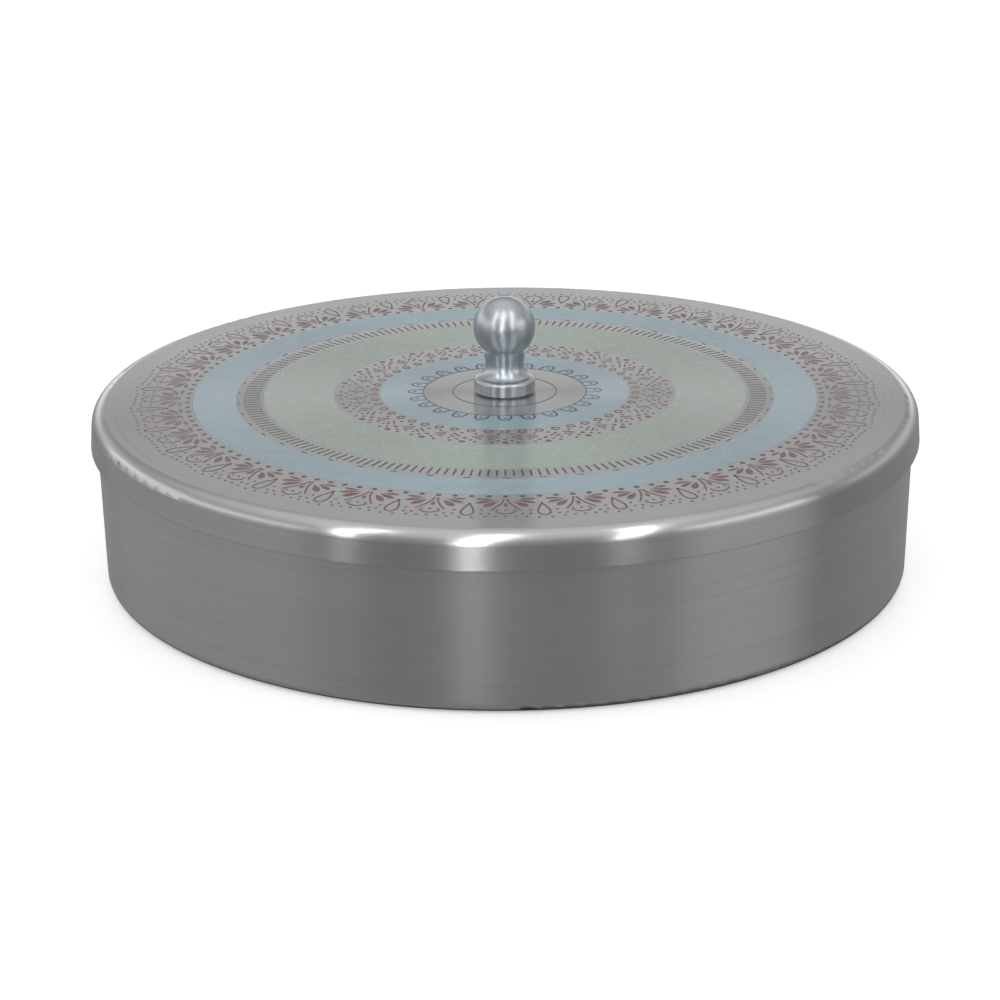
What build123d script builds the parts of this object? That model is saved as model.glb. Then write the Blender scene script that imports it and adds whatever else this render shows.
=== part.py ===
from build123d import *
from math import cos, pi, sin, sqrt
import os

# A round steel spice box: a shallow pan with a lift-off lid, seven loose cups and a spoon.
# Millimetres, +Z up. The origin is the centre of the pan's underside.
# Sheet pieces are revolved from the middle line of the sheet, drawn as (radius, height).

# Overall size
LID_TOP = 46.0               # underside of the box to the flat top of the lid

# Lid: a shallow drawn cap whose skirt hangs outside the pan
LID_GAUGE = 0.6
LID_RIM_RADIUS = 110.0       # outside, at the lower edge of the skirt
LID_FLARE = 0.7              # how much wider the skirt is at its lower edge than below its rounded edge
LID_SKIRT = 9.4              # top face down to the lower edge
LID_EDGE_RADIUS = 3.6        # rounding between the top face and the skirt
SCREW_HOLE_RADIUS = 2.15

# Pan
BOX_GAUGE = 0.6
BOX_TOP_RADIUS = 108.35
BOX_BASE_RADIUS = 107.5
BOX_CORNER_RADIUS = 2.4
BEAD_RADIUS = 1.2            # outside of the rolled rim
BEAD_TURN = 250.0            # degrees of roll, inwards and down
LID_TO_BEAD = 0.3            # free gap between the rolled rim and the inside of the lid's edge

# Seven equal cups, one in the middle and six around it
CUP_GAUGE = 0.5
CUP_LIP_RADIUS = 34.6
CUP_LIP_WIDTH = 1.3
CUP_BASE_RADIUS = 30.0
CUP_CORNER_RADIUS = 5.0
CUP_BEND_RADIUS = 0.6        # inside of the bend under the lip
CUP_HEIGHT = 31.0
CUP_SPACING = 0.9            # gap between the lips of two neighbours
OUTER_CUPS = 6

# Spoon: an oval bowl and a flat tapered handle, laid across the lips of the cups
SPOON_GAUGE = 1.0
BOWL_LENGTH = 37.0
BOWL_WIDTH = 27.0
BOWL_DEPTH = 7.0
BOWL_CENTRE = 57.0           # from the axis of the box to the middle of the bowl
HANDLE_REACH = 49.0          # from the axis of the box to the far end of the handle
HANDLE_NECK_WIDTH = 5.4
HANDLE_END_WIDTH = 11.0
HANDLE_EDGE = 0.3            # rounding along the edges of the handle
SPOON_ANGLE = 60.0           # direction of the handle, in degrees from +X

# Knob: one turned piece, heights counted from the top of the lid
BALL_RADIUS = 8.2
BALL_CENTRE = 17.8
NECK_GROOVE = (5.25, 11.5)   # radius and height of the groove under the ball
NECK_TOP = (5.6, 11.2)
NECK_WAIST = (5.15, 8.6)
FLARE_FOOT = (7.0, 4.6)
SHOULDER_GROOVE = (6.8, 4.25)
SHOULDER_TOP = (7.2, 4.1)
FOOT_RADIUS = 8.1
FOOT_TOP = 3.2
FOOT_BEVEL = 0.55
KNOB_HOLE_RADIUS = 2.05
KNOB_HOLE_DEPTH = 10.5

# Pan head screw and washer that hold the knob from under the lid
SCREW_RADIUS = 1.95
SCREW_LENGTH = 10.0
HEAD_RADIUS = 4.0
HEAD_HEIGHT = 2.6
HEAD_ROUND = 1.5
RECESS_LENGTH = 4.4
RECESS_WIDTH = 0.9
RECESS_DEPTH = 1.4
WASHER_RADIUS = 4.5
WASHER_HOLE_RADIUS = 2.15
WASHER_THICKNESS = 0.8

EDGE_BREAK = 0.2             # rounding of the cut edge of the lid's skirt

# Places worked out from the sizes above
LID_UNDERSIDE = LID_TOP - LID_GAUGE
LID_SHOULDER_RADIUS = LID_RIM_RADIUS - LID_FLARE
CUP_PITCH = 2 * CUP_LIP_RADIUS + CUP_SPACING
CUP_RIM_HEIGHT = BOX_GAUGE + CUP_HEIGHT
HALF_BOX = BOX_GAUGE / 2
HALF_LID = LID_GAUGE / 2
HALF_CUP = CUP_GAUGE / 2


def bead_centre():
    """Centre of the rolled rim, as high as the rounded inside of the lid's edge allows."""
    radius = BOX_TOP_RADIUS - BEAD_RADIUS
    edge_centre_radius = LID_SHOULDER_RADIUS - LID_EDGE_RADIUS
    edge_centre_height = LID_TOP - LID_EDGE_RADIUS
    reach = LID_EDGE_RADIUS - LID_GAUGE - LID_TO_BEAD - BEAD_RADIUS
    rise = sqrt(reach**2 - (radius - edge_centre_radius) ** 2)
    return radius, edge_centre_height + rise


def sheet(path, gauge):
    """A revolved sheet of even gauge along its middle line."""
    return revolve(Plane.XZ * trace(path, gauge), Axis.Z)


def box_body():
    """Drawn pan: flat floor, rounded corner, slightly tapered wall and a rim rolled inwards."""
    radius, height = bead_centre()
    bead_line = BEAD_RADIUS - HALF_BOX
    wall = FilletPolyline(
        (0, HALF_BOX),
        (BOX_BASE_RADIUS - HALF_BOX, HALF_BOX),
        (radius + bead_line, height),
        radius=BOX_CORNER_RADIUS - HALF_BOX,
    )
    roll = JernArc(wall @ 1, wall % 1, bead_line, BEAD_TURN)
    return sheet(wall + roll, BOX_GAUGE)


def lid_shell():
    """Drawn lid: flat top with a hole for the screw, a rounded edge and a short flared skirt."""
    path = FilletPolyline(
        (SCREW_HOLE_RADIUS, LID_TOP - HALF_LID),
        (LID_SHOULDER_RADIUS - HALF_LID, LID_TOP - HALF_LID),
        (LID_RIM_RADIUS - HALF_LID, LID_TOP - LID_SKIRT),
        radius=LID_EDGE_RADIUS - HALF_LID,
    )
    shell = sheet(path, LID_GAUGE)
    cut_edges = shell.edges().filter_by(GeomType.CIRCLE).sort_by(Axis.Z)[:2]
    return fillet(cut_edges, EDGE_BREAK)


def cup():
    """One drawn cup standing on the pan's floor at the axis, with a narrow flat lip."""
    lip_line = CUP_RIM_HEIGHT - HALF_CUP
    path = FilletPolyline(
        (0, BOX_GAUGE + HALF_CUP),
        (CUP_BASE_RADIUS - HALF_CUP, BOX_GAUGE + HALF_CUP),
        (CUP_LIP_RADIUS - CUP_LIP_WIDTH, lip_line),
        (CUP_LIP_RADIUS, lip_line),
        radius=(CUP_CORNER_RADIUS - HALF_CUP, CUP_BEND_RADIUS + HALF_CUP),
    )
    return sheet(path, CUP_GAUGE)


def outer_cup(number):
    """Cup number 1 to 6 of the ring around the middle cup."""
    angle = 2 * pi * (number - 1) / OUTER_CUPS
    return Pos(CUP_PITCH * cos(angle), CUP_PITCH * sin(angle)) * cup()


def spoon():
    """Pressed spoon whose flat handle lies on the lips of the cups and whose bowl hangs in one."""
    half_length = BOWL_LENGTH / 2
    half_width = BOWL_WIDTH / 2
    outside = scale(Sphere(1), by=(half_length, half_width, BOWL_DEPTH))
    inside = scale(
        Sphere(1),
        by=(half_length - SPOON_GAUGE, half_width - SPOON_GAUGE, BOWL_DEPTH - SPOON_GAUGE),
    )
    lower_half = Box(BOWL_LENGTH, BOWL_WIDTH, BOWL_DEPTH, align=(Align.CENTER, Align.CENTER, Align.MAX))
    handle_end = BOWL_CENTRE + HANDLE_REACH - HANDLE_END_WIDTH / 2
    ends = Pos(half_length) * Circle(HANDLE_NECK_WIDTH / 2)
    ends += Pos(handle_end) * Circle(HANDLE_END_WIDTH / 2)
    handle = extrude(make_hull(ends.edges()), -SPOON_GAUGE)
    handle = fillet(handle.edges().filter_by(Plane.XY), HANDLE_EDGE)
    pressed = (outside & lower_half) + handle - inside
    return Rot(0, 0, SPOON_ANGLE) * Pos(-BOWL_CENTRE, 0, CUP_RIM_HEIGHT + SPOON_GAUGE) * pressed


def lid_knob():
    """Turned knob: bevelled foot, waisted neck, ball, and a blind hole for the screw."""
    ball_start_height = BALL_CENTRE - sqrt(BALL_RADIUS**2 - NECK_TOP[0] ** 2)
    with BuildPart() as turned:
        with BuildSketch(Plane.XZ):
            with BuildLine():
                foot = Polyline(
                    (0, BALL_CENTRE + BALL_RADIUS),
                    (0, 0),
                    (FOOT_RADIUS - FOOT_BEVEL, 0),
                    (FOOT_RADIUS, FOOT_BEVEL),
                    (FOOT_RADIUS, FOOT_TOP),
                )
                TangentArc(foot @ 1, SHOULDER_TOP, tangent=(0, 1))
                Polyline(SHOULDER_TOP, SHOULDER_GROOVE, FLARE_FOOT)
                neck = Line(NECK_WAIST, NECK_TOP)
                TangentArc(NECK_WAIST, FLARE_FOOT, tangent=-(neck % 0))
                Polyline(NECK_TOP, NECK_GROOVE, (NECK_TOP[0], ball_start_height))
                ThreePointArc(
                    (NECK_TOP[0], ball_start_height),
                    (BALL_RADIUS, BALL_CENTRE),
                    (0, BALL_CENTRE + BALL_RADIUS),
                )
            make_face()
        revolve(axis=Axis.Z)
        upward = (Align.CENTER, Align.CENTER, Align.MIN)
        Cylinder(KNOB_HOLE_RADIUS, KNOB_HOLE_DEPTH, align=upward, mode=Mode.SUBTRACT)
    return Pos(0, 0, LID_TOP) * turned.part


def knob_washer():
    """Plain washer between the lid and the screw's head."""
    ring = Circle(WASHER_RADIUS) - Circle(WASHER_HOLE_RADIUS)
    return Pos(0, 0, LID_UNDERSIDE) * extrude(ring, -WASHER_THICKNESS)


def knob_screw():
    """Pan head screw with a cross recess, its head under the washer. The thread is left plain."""
    upward = (Align.CENTER, Align.CENTER, Align.MIN)
    downward = (Align.CENTER, Align.CENTER, Align.MAX)
    head = Cylinder(HEAD_RADIUS, HEAD_HEIGHT, align=downward)
    head = fillet(head.edges().sort_by(Axis.Z)[0], HEAD_ROUND)
    recess = Box(RECESS_LENGTH, RECESS_WIDTH, RECESS_DEPTH, align=upward)
    recess += Box(RECESS_WIDTH, RECESS_LENGTH, RECESS_DEPTH, align=upward)
    screw = head + Cylinder(SCREW_RADIUS, SCREW_LENGTH, align=upward) - Pos(0, 0, -HEAD_HEIGHT) * recess
    return Pos(0, 0, LID_UNDERSIDE - WASHER_THICKNESS) * screw


nodes = {
    "box_body": box_body(),
    "lid_shell": lid_shell(),
    "lid_knob": lid_knob(),
    "knob_washer": knob_washer(),
    "knob_screw": knob_screw(),
    "katori_centre": cup(),
    "spoon": spoon(),
}
for number in range(1, OUTER_CUPS + 1):
    nodes[f"katori_{number}"] = outer_cup(number)

os.makedirs("parts", exist_ok=True)
for name, shape in nodes.items():
    export_step(shape, f"parts/{name}.step")
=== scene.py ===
"""Looks of a round steel spice box: brushed steel, a turned knob and a lid printed in rings.

Lengths are in metres. The front of the box, nearest the camera, faces -Y.
"""
import math

import bmesh
import bpy
from mathutils import Matrix, Vector


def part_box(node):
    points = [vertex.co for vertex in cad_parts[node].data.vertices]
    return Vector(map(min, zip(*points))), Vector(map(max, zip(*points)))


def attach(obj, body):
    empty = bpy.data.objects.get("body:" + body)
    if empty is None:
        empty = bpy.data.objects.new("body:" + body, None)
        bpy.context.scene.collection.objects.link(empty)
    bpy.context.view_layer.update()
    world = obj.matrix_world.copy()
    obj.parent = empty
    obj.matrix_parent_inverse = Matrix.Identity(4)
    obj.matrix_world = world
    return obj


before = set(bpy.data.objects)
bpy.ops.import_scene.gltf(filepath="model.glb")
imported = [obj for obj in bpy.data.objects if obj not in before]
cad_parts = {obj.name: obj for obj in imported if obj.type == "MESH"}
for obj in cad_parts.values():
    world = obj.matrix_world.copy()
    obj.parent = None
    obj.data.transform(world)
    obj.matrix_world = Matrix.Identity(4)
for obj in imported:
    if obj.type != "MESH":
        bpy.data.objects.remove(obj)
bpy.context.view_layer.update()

lid_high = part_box("lid_shell")[1]
LID_RADIUS = lid_high.x
LID_TOP = lid_high.z
MM = LID_RADIUS / 110.0          # one millimetre on a lid of 110 mm radius
MICRON = 0.000001
CUPS = ["katori_centre"] + [f"katori_{number}" for number in range(1, 7)]

# The print lies on the steel as thin slabs whose undersides are sunk into the sheet
SUNK = -0.02 * MM
WASH_HEIGHT = 0.015 * MM         # the broad tinted bands
LINE_HEIGHT = 0.03 * MM          # lines and dots, also over the bands
CIRCLE_HEIGHT = 0.8 * LINE_HEIGHT  # full circles, a little lower than the lines that may cross them

# Ring radii of the print, from the knob outwards
CENTRE_LINE = 13.8 * MM
SCALLOP_LINE = 21.8 * MM
SCALLOP_TIP = 26.2 * MM
INNER_BLUE = (SCALLOP_LINE, 33.2 * MM)
EYELETS = 35.0 * MM
GREEN = (45.6 * MM, 64.2 * MM)
TICKS = (65.2 * MM, 69.5 * MM)
DASHES = 70.9 * MM
OUTER_BLUE = (71.6 * MM, 82.8 * MM)
BEADS = 84.3 * MM

# How often each ring's pattern repeats
SCALLOP_COUNT = 24
LATTICE_COUNT = 25
TICK_COUNT = 204
DASH_COUNT = 48
BORDER_COUNT = 33                # also of the filigree in the green band and the waves in the blue one

FINE_LINE = 0.4 * MM
BOLD_LINE = 0.52 * MM
WIDE_LINE = 0.6 * MM
CHEVRON_LINE = 0.8 * MM
SCALLOP_HALF_WIDTH = 1.6 * MM
DASH_HALF_LENGTH = 0.9 * MM
BEAD_RADIUS = 0.7 * MM
EYELET_RADIUS = 0.95 * MM

# How finely curves are divided
BAND_STEPS = 360
DOT_CORNERS = 10
EYELET_CORNERS = 18
DROP_CORNERS = 22
LEAF_STEPS = 9
SCALLOP_STEPS = 14
BORDER_STEPS = 10
HEART_STEPS = 8
ARC_STEPS = 12

LEAF_WIDEST = 0.62               # where a petal is widest, as a share of its length
LEAF_FULLNESS = 0.8              # below 1 its sides are fuller than a sine curve
DROP_TAPER = 0.75                # how slowly an open drop widens from its point


# ---------------------------------------------------------------- print geometry

def spot(angle, radius, along=0.0):
    """A place in millimetres: its ring's radius, and how far along that ring from an angle."""
    return on_ring(radius * MM, angle, along * MM)


def on_ring(radius, angle, along=0.0):
    """A point of the lid's top at an angle from the front, moved a little way around its ring."""
    turn = angle + along / radius
    return Vector((radius * math.sin(turn), -radius * math.cos(turn)))


def slab(bm, outline):
    """Closed flat slab with a filled outline, given anticlockwise or clockwise."""
    top = [bm.verts.new((p.x, p.y, LID_TOP + LINE_HEIGHT)) for p in outline]
    low = [bm.verts.new((p.x, p.y, LID_TOP + SUNK)) for p in outline]
    bm.faces.new(top)
    bm.faces.new(low[::-1])
    for i in range(len(outline)):
        j = (i + 1) % len(outline)
        bm.faces.new((top[j], top[i], low[i], low[j]))


def strip(bm, left, right, height, closed=False):
    """Closed slab between two lines with the same number of points."""
    rows = []
    for a, b in zip(left, right):
        rows.append([
            bm.verts.new((a.x, a.y, LID_TOP + height)),
            bm.verts.new((b.x, b.y, LID_TOP + height)),
            bm.verts.new((b.x, b.y, LID_TOP + SUNK)),
            bm.verts.new((a.x, a.y, LID_TOP + SUNK)),
        ])
    pairs = list(zip(rows, rows[1:]))
    if closed:
        pairs.append((rows[-1], rows[0]))
    for here, after in pairs:
        for i in range(4):
            j = (i + 1) % 4
            bm.faces.new((here[i], here[j], after[j], after[i]))
    if not closed:
        bm.faces.new(rows[0])
        bm.faces.new(rows[-1][::-1])


def stroke(bm, points, width, closed=False):
    """A line of even width along points."""
    left, right = [], []
    last = len(points) - 1
    for i, point in enumerate(points):
        if closed:
            ahead, behind = points[(i + 1) % len(points)], points[i - 1]
        else:
            ahead, behind = points[min(i + 1, last)], points[max(i - 1, 0)]
        side = (ahead - behind).normalized().orthogonal() * width / 2
        left.append(point + side)
        right.append(point - side)
    strip(bm, left, right, LINE_HEIGHT, closed)


def around(centre, radius, corners):
    """The corners of a small circle."""
    return [centre + Vector((math.cos(turn), math.sin(turn))) * radius for turn in repeats(corners)]


def dot(bm, centre, radius):
    """A small round spot."""
    slab(bm, around(centre, radius, DOT_CORNERS))


def eyelet(bm, centre, radius, width):
    """A small open circle."""
    stroke(bm, around(centre, radius, EYELET_CORNERS), width, closed=True)


def leaf(bm, root, tip, width):
    """A filled petal from a sharp root to a rounded tip."""
    along = tip - root
    side = along.normalized().orthogonal() * width / 2
    power = math.log(0.5) / math.log(LEAF_WIDEST)
    edge = []
    for i in range(1, LEAF_STEPS):
        share = i / LEAF_STEPS
        edge.append((share, math.sin(math.pi * share**power) ** LEAF_FULLNESS))
    left = [root + along * share + side * wide for share, wide in edge]
    right = [root + along * share - side * wide for share, wide in edge]
    slab(bm, [root] + left + [tip] + right[::-1])


def band(bm, radii, height):
    """A full ring between two radii."""
    turns = repeats(BAND_STEPS)
    inner = [on_ring(radii[0], t) for t in turns]
    outer = [on_ring(radii[1], t) for t in turns]
    strip(bm, inner, outer, height, closed=True)


def circle_line(bm, radius, width):
    """A thin full circle."""
    band(bm, (radius - width / 2, radius + width / 2), CIRCLE_HEIGHT)


def repeats(count, start=0.0):
    """Angles of a pattern that repeats count times around the lid."""
    return [2 * math.pi * (i + start) / count for i in range(count)]


def bezier(points, steps):
    """Points along one Bezier curve of any degree."""
    curve = []
    for i in range(steps + 1):
        share = i / steps
        level = list(points)
        while len(level) > 1:
            level = [a.lerp(b, share) for a, b in zip(level, level[1:])]
        curve.append(level[0])
    return curve


def ink_piece(slot, draw, material, name=None):
    """One printed colour as a mesh of closed slabs that rides on the lid."""
    bm = bmesh.new()
    draw(bm)
    bmesh.ops.recalc_face_normals(bm, faces=bm.faces)
    mesh = bpy.data.meshes.new(name or slot)
    bm.to_mesh(mesh)
    bm.free()
    piece = bpy.data.objects.new(name or slot, mesh)
    bpy.context.scene.collection.objects.link(piece)
    mesh.materials.append(material)
    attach(piece, "lid")
    return piece


def draw_blue(bm):
    """The two blue bands."""
    for radii in (INNER_BLUE, OUTER_BLUE):
        band(bm, radii, WASH_HEIGHT)


def draw_green(bm):
    """The green band."""
    band(bm, GREEN, WASH_HEIGHT)


def draw_navy(bm):
    """Inner circle with a row of scallops, each with a dot in it."""
    circle_line(bm, SCALLOP_LINE, FINE_LINE)
    half = SCALLOP_HALF_WIDTH
    for angle in repeats(SCALLOP_COUNT):
        curve = bezier([
            on_ring(SCALLOP_LINE, angle, -half),
            on_ring(SCALLOP_LINE + 2.2 * MM, angle, -1.15 * half),
            on_ring(SCALLOP_TIP + 1.0 * MM, angle, -1.2 * half),
            on_ring(SCALLOP_TIP + 1.0 * MM, angle, 1.2 * half),
            on_ring(SCALLOP_LINE + 2.2 * MM, angle, 1.15 * half),
            on_ring(SCALLOP_LINE, angle, half),
        ], SCALLOP_STEPS)
        stroke(bm, curve, WIDE_LINE)
        dot(bm, on_ring((SCALLOP_LINE + SCALLOP_TIP) / 2, angle), 0.5 * MM)


def draw_grey(bm):
    """Line around the knob, the ring of ticks, short dashes and the row of beads."""
    circle_line(bm, CENTRE_LINE, FINE_LINE)
    for angle in repeats(TICK_COUNT):
        stroke(bm, [on_ring(TICKS[0], angle), on_ring(TICKS[1], angle)], BOLD_LINE)
    for angle in repeats(DASH_COUNT):
        ends = [on_ring(DASHES, angle, along) for along in (-DASH_HALF_LENGTH, DASH_HALF_LENGTH)]
        stroke(bm, ends, FINE_LINE)
    for angle in repeats(4 * BORDER_COUNT):
        dot(bm, on_ring(BEADS, angle), BEAD_RADIUS)


def draw_lattice(bm, angle):
    """One repeat of the maroon dots and slanted strokes between the eyelets and the green band."""
    dot(bm, spot(angle, 41.0), 0.62 * MM)
    dot(bm, spot(angle, 43.9), 0.85 * MM)
    for side in (-1, 1):
        dot(bm, spot(angle, 37.2, 1.8 * side), 0.5 * MM)
        stroke(bm, [spot(angle, 40.0, 1.6 * side), spot(angle, 37.9, 3.9 * side)], BOLD_LINE)
        stroke(bm, [spot(angle, 40.9, 2.8 * side), spot(angle, 39.5, 4.4 * side)], BOLD_LINE)
        dot(bm, spot(angle, 41.6, 4.1 * side), 0.4 * MM)
        dot(bm, spot(angle, 42.3, 1.8 * side), 0.5 * MM)
        dot(bm, spot(angle, 43.7, 3.3 * side), 0.5 * MM)


# Radius and distance along the ring, in millimetres, of the small dots around each fan of the border
BORDER_DOTS = ((94.0, 2.0), (94.0, 5.8), (96.5, 3.9), (96.5, 5.8), (98.2, 2.4), (98.4, 4.8), (99.0, 7.9))


def draw_border(bm, angle):
    """One repeat of the outer border: a fan of petals around a stem, with a crescent and dots."""
    leaf(bm, spot(angle, 88.8), spot(angle, 91.6), 1.0 * MM)
    crescent = [spot(angle, 94.9, -2.5), spot(angle, 98.1), spot(angle, 94.9, 2.5)]
    stroke(bm, bezier(crescent, BORDER_STEPS), BOLD_LINE)
    dot(bm, spot(angle, 94.0), 0.42 * MM)
    dot(bm, spot(angle, 98.2), 0.4 * MM)
    for side in (-1, 1):
        stem = [
            spot(angle, 86.2, 0.4 * side),
            spot(angle, 89.2, 0.6 * side),
            spot(angle, 91.6, 2.0 * side),
            spot(angle, 94.0, 3.5 * side),
        ]
        stroke(bm, bezier(stem, BORDER_STEPS), BOLD_LINE)
        leaf(bm, spot(angle, 86.4, 3.2 * side), spot(angle, 86.2, 7.1 * side), 1.1 * MM)
        leaf(bm, spot(angle, 86.9, 2.5 * side), spot(angle, 89.2, 7.1 * side), 1.5 * MM)
        leaf(bm, spot(angle, 87.8, 1.9 * side), spot(angle, 91.7, 5.3 * side), 1.85 * MM)
        for radius, along in BORDER_DOTS:
            dot(bm, spot(angle, radius, along * side), 0.4 * MM)


def draw_teardrop(bm, angle):
    """An open drop between two fans, its point towards the knob."""
    point, foot, half_width = 89.3, 97.6, 2.1
    outline = []
    for turn in repeats(DROP_CORNERS):
        share = (1 - math.cos(turn)) / 2
        across = half_width * math.sin(turn) * share**DROP_TAPER
        outline.append(spot(angle, point + (foot - point) * share, across))
    stroke(bm, outline, BOLD_LINE, closed=True)


def draw_maroon(bm):
    """Eyelets and lattice around the inner blue band, and the outer border."""
    for angle in repeats(2 * LATTICE_COUNT):
        eyelet(bm, on_ring(EYELETS, angle), EYELET_RADIUS, BOLD_LINE)
    for angle in repeats(LATTICE_COUNT):
        draw_lattice(bm, angle)
    for angle in repeats(BORDER_COUNT):
        draw_border(bm, angle)
    for angle in repeats(BORDER_COUNT, 0.5):
        draw_teardrop(bm, angle)


def draw_filigree(bm):
    """Pale lines in the green band: circles, chevrons with short bars, and little hearts."""
    for angle in repeats(2 * BORDER_COUNT, 0.5):
        eyelet(bm, spot(angle, 48.0), 1.35 * MM, BOLD_LINE)
    for angle in repeats(BORDER_COUNT):
        stroke(bm, [spot(angle, 50.3, -4.6), spot(angle, 56.2), spot(angle, 50.3, 4.6)], CHEVRON_LINE)
        for side in (-1, 1):
            for bar in range(3):
                along = (1.3 + 1.15 * bar) * side
                radius = 57.2 - 1.15 * bar
                ends = [spot(angle, radius, along), spot(angle, radius + 1.3, along + 0.7 * side)]
                stroke(bm, ends, BOLD_LINE)
        right, left = [
            bezier([
                spot(angle, 63.4),
                spot(angle, 62.0, 2.3 * side),
                spot(angle, 59.2, 1.9 * side),
                spot(angle, 60.6),
            ], HEART_STEPS)
            for side in (1, -1)
        ]
        stroke(bm, right + left[-2:0:-1], BOLD_LINE, closed=True)
    for angle in repeats(BORDER_COUNT, 0.5):
        eyelet(bm, spot(angle, 61.0), 1.8 * MM, WIDE_LINE)
        dot(bm, spot(angle, 61.0), 0.6 * MM)
        dot(bm, spot(angle, 54.6), 0.6 * MM)


def draw_waves(bm):
    """Pale nested arcs in the outer blue band, by turns from its inner and its outer edge."""
    for start, edge, outward in ((0.0, OUTER_BLUE[0] / MM, 1), (0.5, OUTER_BLUE[1] / MM, -1)):
        for angle in repeats(BORDER_COUNT, start):
            for radius in (1.2, 2.5, 3.8, 5.1):
                turns = [math.pi * i / ARC_STEPS for i in range(1, ARC_STEPS)]
                arc = [
                    spot(angle, edge + outward * radius * math.sin(t), radius * math.cos(t))
                    for t in turns
                ]
                stroke(bm, arc, FINE_LINE)
            dot(bm, spot(angle, edge + outward * 8.0), 0.55 * MM)
            for side in (-1, 1):
                dot(bm, spot(angle, edge + outward * 6.9, 2.1 * side), FINE_LINE)


# ---------------------------------------------------------------- materials

# Shades of the brushed steels
PAN_SHADE = (0.55, 0.55, 0.55)
LID_SHADE = (0.46, 0.465, 0.465)
CUP_SHADE = (0.5, 0.5, 0.5)

# The two shades between which the other metals vary
ALUMINIUM_TINTS = ((0.36, 0.39, 0.415), (0.45, 0.48, 0.505))
SPOON_TINTS = ((0.46, 0.46, 0.45), (0.56, 0.56, 0.55))
ZINC_TINTS = ((0.42, 0.43, 0.42), (0.58, 0.58, 0.54))

# Colours of the inks, where they are thin and where they are thick
BLUE_TINTS = ((0.39, 0.48, 0.515), (0.32, 0.425, 0.482))
GREEN_TINTS = ((0.42, 0.465, 0.43), (0.36, 0.415, 0.375))
NAVY_TINTS = ((0.065, 0.07, 0.12), (0.035, 0.04, 0.075))
GREY_TINTS = ((0.08, 0.075, 0.075), (0.04, 0.035, 0.035))
MAROON_TINTS = ((0.18, 0.09, 0.1), (0.11, 0.045, 0.055))
PALE_GREEN_TINTS = ((0.45, 0.505, 0.455), (0.395, 0.46, 0.41))
PALE_BLUE_TINTS = ((0.42, 0.51, 0.54), (0.35, 0.455, 0.5))

STAIN = 0.05                     # how much lighter and darker the steel is in places
GRAIN_ROUGHNESS = 0.02           # how far brush marks move the roughness of steel
CLOUD_ROUGHNESS = 0.015          # how far handling marks move it
INK_GRAIN_ROUGHNESS = 0.05       # how far brush marks move the roughness of ink
LINE_GLOSS = 0.35                # weight of the gloss over the dark inks
GLOSS_ROUGHNESS = 0.12
COVER_RANGE = (0.1, 0.9)         # how thick the ink is from its thinnest to its thickest places
GRAIN_SHOWS = 0.12               # how far brush marks change how thick the ink looks
SCRATCH_SCALE = (900.0, 5200.0, 900.0)  # scratches for each metre along X, Y and Z
ACROSS_THE_BRUSHING = 0.25       # a quarter turn: highlights stretch at right angles to the brush marks


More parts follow.
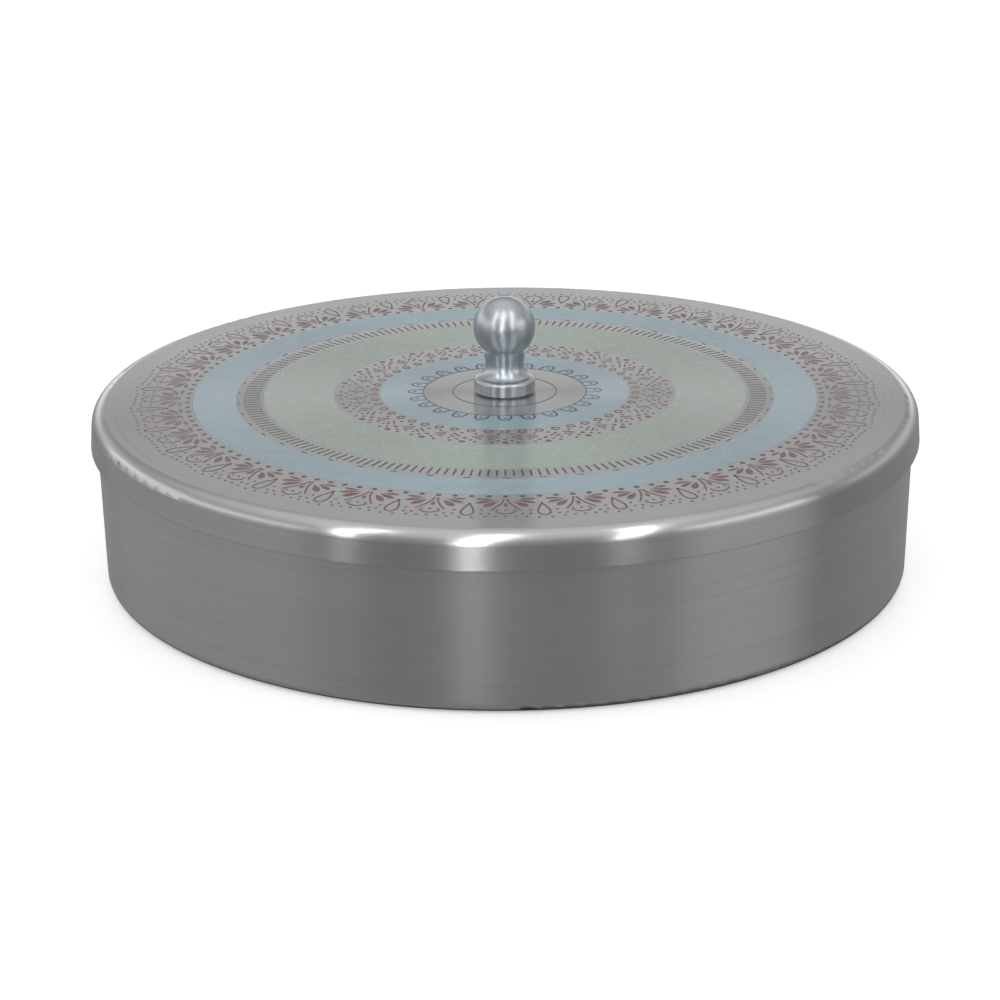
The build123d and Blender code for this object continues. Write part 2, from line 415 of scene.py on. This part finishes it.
class Tree:
    """The nodes of a material or a world, with short calls for the few kinds used here."""

    def __init__(self, owner):
        owner.use_nodes = True
        self.owner = owner
        self.nodes = owner.node_tree.nodes
        self.links = owner.node_tree.links
        self.shader = self.nodes.get("Principled BSDF")

    def plug(self, value, socket):
        if isinstance(value, bpy.types.NodeSocket):
            self.links.new(value, socket)
        else:
            socket.default_value = value

    def math(self, operation, a, b=0.0):
        node = self.nodes.new("ShaderNodeMath")
        node.operation = operation
        self.plug(a, node.inputs[0])
        self.plug(b, node.inputs[1])
        return node.outputs[0]

    def vector(self, operation, a, b=(0, 0, 0)):
        node = self.nodes.new("ShaderNodeVectorMath")
        node.operation = operation
        self.plug(a, node.inputs[0])
        self.plug(b, node.inputs[1])
        return node.outputs["Value" if operation in ("LENGTH", "DOT_PRODUCT") else "Vector"]

    def noise(self, vector, scale, detail=2.0, roughness=0.5):
        node = self.nodes.new("ShaderNodeTexNoise")
        node.inputs["Scale"].default_value = scale
        node.inputs["Detail"].default_value = detail
        node.inputs["Roughness"].default_value = roughness
        self.links.new(vector, node.inputs["Vector"])
        return node.outputs["Fac"]

    def spread(self, value, low, high):
        """Maps 0.3 to 0.7, where most noise lies, to a range."""
        node = self.nodes.new("ShaderNodeMapRange")
        node.inputs["From Min"].default_value = 0.3
        node.inputs["From Max"].default_value = 0.7
        node.inputs["To Min"].default_value = low
        node.inputs["To Max"].default_value = high
        self.links.new(value, node.inputs["Value"])
        return node.outputs["Result"]

    def ramp(self, value, start, end, low, high):
        """A soft step from low to high while the value goes from start to end."""
        node = self.nodes.new("ShaderNodeMapRange")
        node.interpolation_type = "SMOOTHSTEP"
        for socket, number in (("From Min", start), ("From Max", end), ("To Min", low), ("To Max", high)):
            node.inputs[socket].default_value = number
        self.links.new(value, node.inputs["Value"])
        return node.outputs["Result"]

    def mix(self, factor, a, b):
        node = self.nodes.new("ShaderNodeMix")
        node.data_type = "RGBA"
        self.plug(factor, node.inputs["Factor"])
        self.plug((*a, 1.0) if isinstance(a, tuple) else a, node.inputs["A"])
        self.plug((*b, 1.0) if isinstance(b, tuple) else b, node.inputs["B"])
        return node.outputs["Result"]

    def bump(self, height, distance):
        node = self.nodes.new("ShaderNodeBump")
        node.inputs["Strength"].default_value = 1.0
        node.inputs["Distance"].default_value = distance
        self.links.new(height, node.inputs["Height"])
        self.links.new(node.outputs["Normal"], self.shader.inputs["Normal"])

    def brushed_look(self, anisotropy):
        """Highlights of a surface brushed around its axis."""
        node = self.nodes.new("ShaderNodeTangent")
        node.direction_type = "RADIAL"
        node.axis = "Z"
        self.links.new(node.outputs["Tangent"], self.shader.inputs["Tangent"])
        self.shader.inputs["Anisotropic"].default_value = anisotropy
        self.shader.inputs["Anisotropic Rotation"].default_value = ACROSS_THE_BRUSHING

    def place(self, size):
        """Place on the piece in metres from the middle of its box's floor."""
        coordinates = self.nodes.new("ShaderNodeTexCoord")
        centred = self.vector("SUBTRACT", coordinates.outputs["Generated"], (0.5, 0.5, 0.0))
        return self.vector("MULTIPLY", centred, tuple(size))

    def brushed_around(self, size, breaks=9.0, fineness=9000.0):
        """Coordinates of brush marks around the piece's own axis.

        More breaks make them shorter, and more fineness makes them narrower.
        """
        place = self.place(size)
        flat = self.vector("MULTIPLY", place, (1.0, 1.0, 0.0))
        direction = self.vector("NORMALIZE", flat)
        height = self.nodes.new("ShaderNodeSeparateXYZ")
        self.links.new(place, height.inputs[0])
        across = self.math("SUBTRACT", self.vector("LENGTH", flat), height.outputs["Z"])
        combined = self.nodes.new("ShaderNodeCombineXYZ")
        self.links.new(self.math("MULTIPLY", across, fineness), combined.inputs["Z"])
        along = self.vector("MULTIPLY", direction, (breaks, breaks, 0.0))
        return self.vector("ADD", along, combined.outputs[0])


def node_size(name):
    """Width, depth and height of a CAD piece."""
    low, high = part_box(name)
    return high - low


def brushed_steel(name, size, shade, roughness, anisotropy):
    """Satin steel, brushed around its axis, with faint handling marks."""
    tree = Tree(bpy.data.materials.new(name))
    marks = tree.brushed_around(size)
    fine = tree.noise(marks, 1.0, detail=3.0, roughness=0.7)
    broad = tree.noise(marks, 0.12, detail=2.0)
    cloud = tree.noise(tree.place(size), 28.0, detail=4.0)
    dark = tuple(channel * (1 - STAIN) for channel in shade)
    light = tuple(channel * (1 + STAIN) for channel in shade)
    tint = tree.mix(tree.spread(broad, 0.0, 1.0), dark, light)
    shadowed = tree.mix(tree.spread(cloud, 0.0, 0.5), tint, dark)
    tree.links.new(shadowed, tree.shader.inputs["Base Color"])
    grain_rough = tree.spread(fine, roughness - GRAIN_ROUGHNESS, roughness + GRAIN_ROUGHNESS)
    cloud_rough = tree.spread(cloud, -CLOUD_ROUGHNESS, CLOUD_ROUGHNESS)
    tree.links.new(tree.math("ADD", grain_rough, cloud_rough), tree.shader.inputs["Roughness"])
    tree.shader.inputs["Metallic"].default_value = 1.0
    tree.brushed_look(anisotropy)
    tree.bump(fine, 1.5 * MICRON)
    return tree.owner


def turned_aluminium(name, size):
    """Satin turned metal with fine tool rings and a slightly cool colour."""
    tree = Tree(bpy.data.materials.new(name))
    marks = tree.brushed_around(size, breaks=1.2, fineness=4000.0)
    rings = tree.noise(marks, 1.0, detail=2.0)
    wear = tree.noise(tree.place(size), 260.0, detail=3.0)
    tint = tree.mix(tree.spread(wear, 0.0, 1.0), *ALUMINIUM_TINTS)
    tree.links.new(tint, tree.shader.inputs["Base Color"])
    rough = tree.math("ADD", tree.spread(rings, 0.27, 0.31), tree.spread(wear, 0.0, 0.05))
    tree.links.new(rough, tree.shader.inputs["Roughness"])
    tree.shader.inputs["Metallic"].default_value = 1.0
    tree.brushed_look(0.3)
    tree.bump(rings, 9 * MICRON)
    return tree.owner


def pressed_steel(name, size):
    """Polished spoon steel with short fine scratches."""
    tree = Tree(bpy.data.materials.new(name))
    place = tree.place(size)
    scratches = tree.noise(tree.vector("MULTIPLY", place, SCRATCH_SCALE), 1.0, detail=3.0)
    cloud = tree.noise(place, 60.0, detail=3.0)
    tint = tree.mix(tree.spread(cloud, 0.0, 1.0), *SPOON_TINTS)
    tree.links.new(tint, tree.shader.inputs["Base Color"])
    rough = tree.math("ADD", tree.spread(scratches, 0.16, 0.26), tree.spread(cloud, 0.0, 0.05))
    tree.links.new(rough, tree.shader.inputs["Roughness"])
    tree.shader.inputs["Metallic"].default_value = 1.0
    tree.bump(scratches, 5 * MICRON)
    return tree.owner


def zinc_plate(name, size):
    """Dull plated steel of the screw and washer."""
    tree = Tree(bpy.data.materials.new(name))
    place = tree.place(size)
    spangle = tree.noise(place, 900.0, detail=3.0)
    tint = tree.mix(tree.spread(spangle, 0.0, 1.0), *ZINC_TINTS)
    tree.links.new(tint, tree.shader.inputs["Base Color"])
    tree.links.new(tree.spread(spangle, 0.28, 0.42), tree.shader.inputs["Roughness"])
    tree.shader.inputs["Metallic"].default_value = 1.0
    tree.bump(spangle, 10 * MICRON)
    return tree.owner


def ink(name, tints, metallic, roughness, gloss):
    """Satin ink over brushed steel, thinner in places, so that the steel's grain shows through."""
    tree = Tree(bpy.data.materials.new(name))
    size = node_size("lid_shell")
    grain = tree.noise(tree.brushed_around(size), 1.0, detail=3.0, roughness=0.7)
    cover = tree.noise(tree.place(size), 190.0, detail=4.0, roughness=0.6)
    blend = tree.math("ADD", tree.spread(cover, *COVER_RANGE), tree.spread(grain, -GRAIN_SHOWS, GRAIN_SHOWS))
    tree.links.new(tree.mix(blend, *tints), tree.shader.inputs["Base Color"])
    rough = tree.spread(grain, roughness - INK_GRAIN_ROUGHNESS, roughness + INK_GRAIN_ROUGHNESS)
    tree.links.new(rough, tree.shader.inputs["Roughness"])
    tree.shader.inputs["Metallic"].default_value = metallic
    tree.shader.inputs["Coat Weight"].default_value = gloss
    tree.shader.inputs["Coat Roughness"].default_value = GLOSS_ROUGHNESS
    tree.brushed_look(0.8)
    tree.bump(cover, 6 * MICRON)
    return tree.owner


def wash_ink(name, tints):
    """Thin see-through ink of the bands and of the pale lines on them."""
    return ink(name, tints, metallic=0.9, roughness=0.36, gloss=0.0)


def line_ink(name, tints):
    """Dark covering ink of the drawn lines, with a little gloss."""
    return ink(name, tints, metallic=0.4, roughness=0.4, gloss=LINE_GLOSS)


def dress(node, material):
    """Gives a CAD piece its material."""
    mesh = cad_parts[node].data
    mesh.materials.clear()
    mesh.materials.append(material)


# ---------------------------------------------------------------- stage

STAGE_SIZE = 6.0
FLOOR_HEIGHT = -0.0001          # just clear of the pan so that no faces coincide
PAPER_COLOURS = ((0.9, 0.9, 0.9), (0.93, 0.93, 0.93))
TABLE_COLOUR = (0.4, 0.4, 0.4)
TABLE_ROUGHNESS = 0.45
PAPER_GLOW = 0.4                 # light of its own that keeps the paper white to the camera
LAMP_DISTANCE = 1.3
# Tall soft strip lights: name, azimuth and elevation of the lower and the upper end in degrees,
# width, brightness
STRIPS = (
    ("strip_left", (-40.0, 2.0), (-55.0, 66.0), 0.09, 5.0),
    ("strip_front", (-9.0, -1.0), (1.0, 72.0), 0.13, 4.6),
    ("strip_low", (-9.0, -1.0), (-8.0, 13.0), 0.11, 5.5),
    ("strip_right", (28.0, 4.0), (61.0, 66.0), 0.12, 4.5),
)
# Brightness of the dome up to the first and from the second of two heights in degrees
LOW_SKY = 0.4
HIGH_SKY = 1.0
SKY_EDGE = (20.0, 72.0)
# Azimuth, half width, soft edge and top of each panel in degrees, and the brightness it adds
PANELS = (
    (-95.0, 47.0, 10.0, 32.0, 1.15),
    (-147.0, 14.0, 14.0, 32.0, 0.45),
    (68.0, 24.0, 7.0, 36.0, 1.4),
    (130.0, 34.0, 20.0, 32.0, 0.5),
    (180.0, 32.0, 32.0, 16.0, 2.5),
)
PANEL_FOOT = 0.15                # brightness of a panel at the horizon as a share of its full brightness
PANEL_RISE = 15.0                # height in degrees at which a panel is fully bright
CAMERA_DISTANCE = 0.7076         # to the centre of the lid's top
CAMERA_ELEVATION = math.radians(17.25)
CAMERA_TILT = math.radians(2.36)  # the camera aims this much below the lid's centre
CAMERA_TURN = math.radians(0.13)  # and this much to its left
CAMERA_ROLL = math.radians(-0.51)
LENS = 95.28
SENSOR = 36.0


def floor_material():
    """Bright white paper to the camera; mirrored in the steel it is the dim table of a studio."""
    tree = Tree(bpy.data.materials.new("floor_paper"))
    coordinates = tree.nodes.new("ShaderNodeTexCoord")
    fibre = tree.noise(coordinates.outputs["Object"], 320.0, detail=3.0)
    paper = tree.mix(tree.spread(fibre, 0.0, 1.0), *PAPER_COLOURS)
    seen = tree.nodes.new("ShaderNodeLightPath").outputs["Is Camera Ray"]
    tree.links.new(tree.mix(seen, TABLE_COLOUR, paper), tree.shader.inputs["Base Color"])
    tree.links.new(tree.math("SUBTRACT", 1.0, seen), tree.shader.inputs["Metallic"])
    tree.links.new(tree.math("MULTIPLY", seen, PAPER_GLOW), tree.shader.inputs["Emission Strength"])
    tree.shader.inputs["Emission Color"].default_value = (1.0, 1.0, 1.0, 1.0)
    tree.shader.inputs["Roughness"].default_value = TABLE_ROUGHNESS
    return tree.owner


def make_floor():
    """A large flat sheet under the box."""
    mesh = bpy.data.meshes.new("floor")
    half = STAGE_SIZE / 2
    sides = ((-half, -half), (half, -half), (half, half), (-half, half))
    corners = [(x, y, FLOOR_HEIGHT) for x, y in sides]
    mesh.from_pydata(corners, [], [(0, 1, 2, 3)])
    mesh.materials.append(floor_material())
    floor = bpy.data.objects.new("floor", mesh)
    bpy.context.scene.collection.objects.link(floor)
    return floor


def make_camera():
    """The camera in front of the box, a little above it, aimed near the centre of the lid."""
    data = bpy.data.cameras.new("camera")
    data.lens = LENS
    data.sensor_width = SENSOR
    camera = bpy.data.objects.new("camera", data)
    bpy.context.scene.collection.objects.link(camera)
    place = Vector((
        0.0,
        -CAMERA_DISTANCE * math.cos(CAMERA_ELEVATION),
        LID_TOP + CAMERA_DISTANCE * math.sin(CAMERA_ELEVATION),
    ))
    tilt = math.pi / 2 - CAMERA_ELEVATION - CAMERA_TILT
    aim = Matrix.Rotation(CAMERA_TURN, 4, "Z") @ Matrix.Rotation(tilt, 4, "X")
    camera.matrix_world = Matrix.Translation(place) @ aim @ Matrix.Rotation(CAMERA_ROLL, 4, "Z")
    bpy.context.scene.camera = camera


def direction_at(azimuth, elevation):
    """Unit vector by its angle from the front, positive to the right, and its angle above the floor."""
    turn, rise = math.radians(azimuth), math.radians(elevation)
    return Vector((math.sin(turn) * math.cos(rise), -math.cos(turn) * math.cos(rise), math.sin(rise)))


def make_strip(name, lower, upper, width, brightness):
    """A long soft light between two directions, facing the lid."""
    aim = Vector((0.0, 0.0, LID_TOP))
    low_end, high_end = [aim + direction_at(*end) * LAMP_DISTANCE for end in (lower, upper)]
    along = high_end - low_end
    middle = (low_end + high_end) / 2
    data = bpy.data.lights.new(name, "AREA")
    data.shape = "RECTANGLE"
    data.size, data.size_y = width, along.length
    data.energy = brightness * math.pi * width * along.length
    light = bpy.data.objects.new(name, data)
    bpy.context.scene.collection.objects.link(light)
    upward = along.normalized()
    backward = (middle - aim).normalized()
    sideways = upward.cross(backward)
    turned = Matrix((sideways, upward, backward)).transposed().to_4x4()
    light.matrix_world = Matrix.Translation(middle) @ turned
    return light


def make_world():
    """Soft studio surroundings: a dome, brighter overhead, with wide panels around the horizon."""
    world = bpy.data.worlds.new("studio")
    tree = Tree(world)
    direction = tree.nodes.new("ShaderNodeTexCoord").outputs["Generated"]
    level = tree.vector("NORMALIZE", tree.vector("MULTIPLY", direction, (1.0, 1.0, 0.0)))
    split = tree.nodes.new("ShaderNodeSeparateXYZ")
    tree.links.new(direction, split.inputs[0])
    height = tree.math("ABSOLUTE", split.outputs["Z"])
    low_edge, high_edge = [math.sin(math.radians(edge)) for edge in SKY_EDGE]
    brightness = tree.ramp(height, low_edge, high_edge, LOW_SKY, HIGH_SKY)
    foot = tree.ramp(height, 0.0, math.sin(math.radians(PANEL_RISE)), PANEL_FOOT, 1.0)
    for azimuth, half_width, soft_edge, top, gain in PANELS:
        towards = tree.vector("DOT_PRODUCT", level, direction_at(azimuth, 0.0))
        outer, inner = [math.cos(math.radians(angle)) for angle in (half_width, half_width - soft_edge)]
        across = tree.ramp(towards, outer, inner, 0.0, gain)
        top_edge = math.sin(math.radians(top))
        upwards = tree.ramp(height, top_edge / 2, top_edge, 1.0, 0.0)
        panel = tree.math("MULTIPLY", tree.math("MULTIPLY", across, upwards), foot)
        brightness = tree.math("ADD", brightness, panel)
    background = tree.nodes["Background"]
    background.inputs["Color"].default_value = (1.0, 1.0, 1.0, 1.0)
    tree.links.new(brightness, background.inputs["Strength"])
    bpy.context.scene.world = world


def make_lights(floor):
    """The strip lights, shut off from the floor so that they light the box and not the table around it."""
    not_lit = bpy.data.collections.new("not_lit_by_strips")
    not_lit.objects.link(floor)
    not_lit.collection_objects[0].light_linking.link_state = "EXCLUDE"
    for strip_light in STRIPS:
        make_strip(*strip_light).light_linking.receiver_collection = not_lit


# ---------------------------------------------------------------- assembly

make_camera()
floor = make_floor()
make_world()
make_lights(floor)
bpy.context.scene.view_settings.view_transform = "Standard"

dress("box_body", brushed_steel("pan_steel", node_size("box_body"), PAN_SHADE, 0.23, 0.82))
dress("lid_shell", brushed_steel("lid_steel", node_size("lid_shell"), LID_SHADE, 0.24, 0.88))
for cup in CUPS:
    dress(cup, brushed_steel(f"cup_steel_{cup}", node_size(cup), CUP_SHADE, 0.22, 0.6))
dress("spoon", pressed_steel("spoon_steel", node_size("spoon")))
dress("lid_knob", turned_aluminium("knob_aluminium", node_size("lid_knob")))
for fastener in ("knob_screw", "knob_washer"):
    dress(fastener, zinc_plate(f"zinc_{fastener}", node_size(fastener)))

ink_piece("print_blue", draw_blue, wash_ink("ink_blue", BLUE_TINTS))
ink_piece("print_green", draw_green, wash_ink("ink_green", GREEN_TINTS))
ink_piece("print_navy", draw_navy, line_ink("ink_navy", NAVY_TINTS))
ink_piece("print_grey", draw_grey, line_ink("ink_grey", GREY_TINTS))
ink_piece("print_maroon", draw_maroon, line_ink("ink_maroon", MAROON_TINTS))
ink_piece("print_pale", draw_filigree, wash_ink("ink_pale_green", PALE_GREEN_TINTS), "filigree")
ink_piece("print_pale", draw_waves, wash_ink("ink_pale_blue", PALE_BLUE_TINTS), "waves")
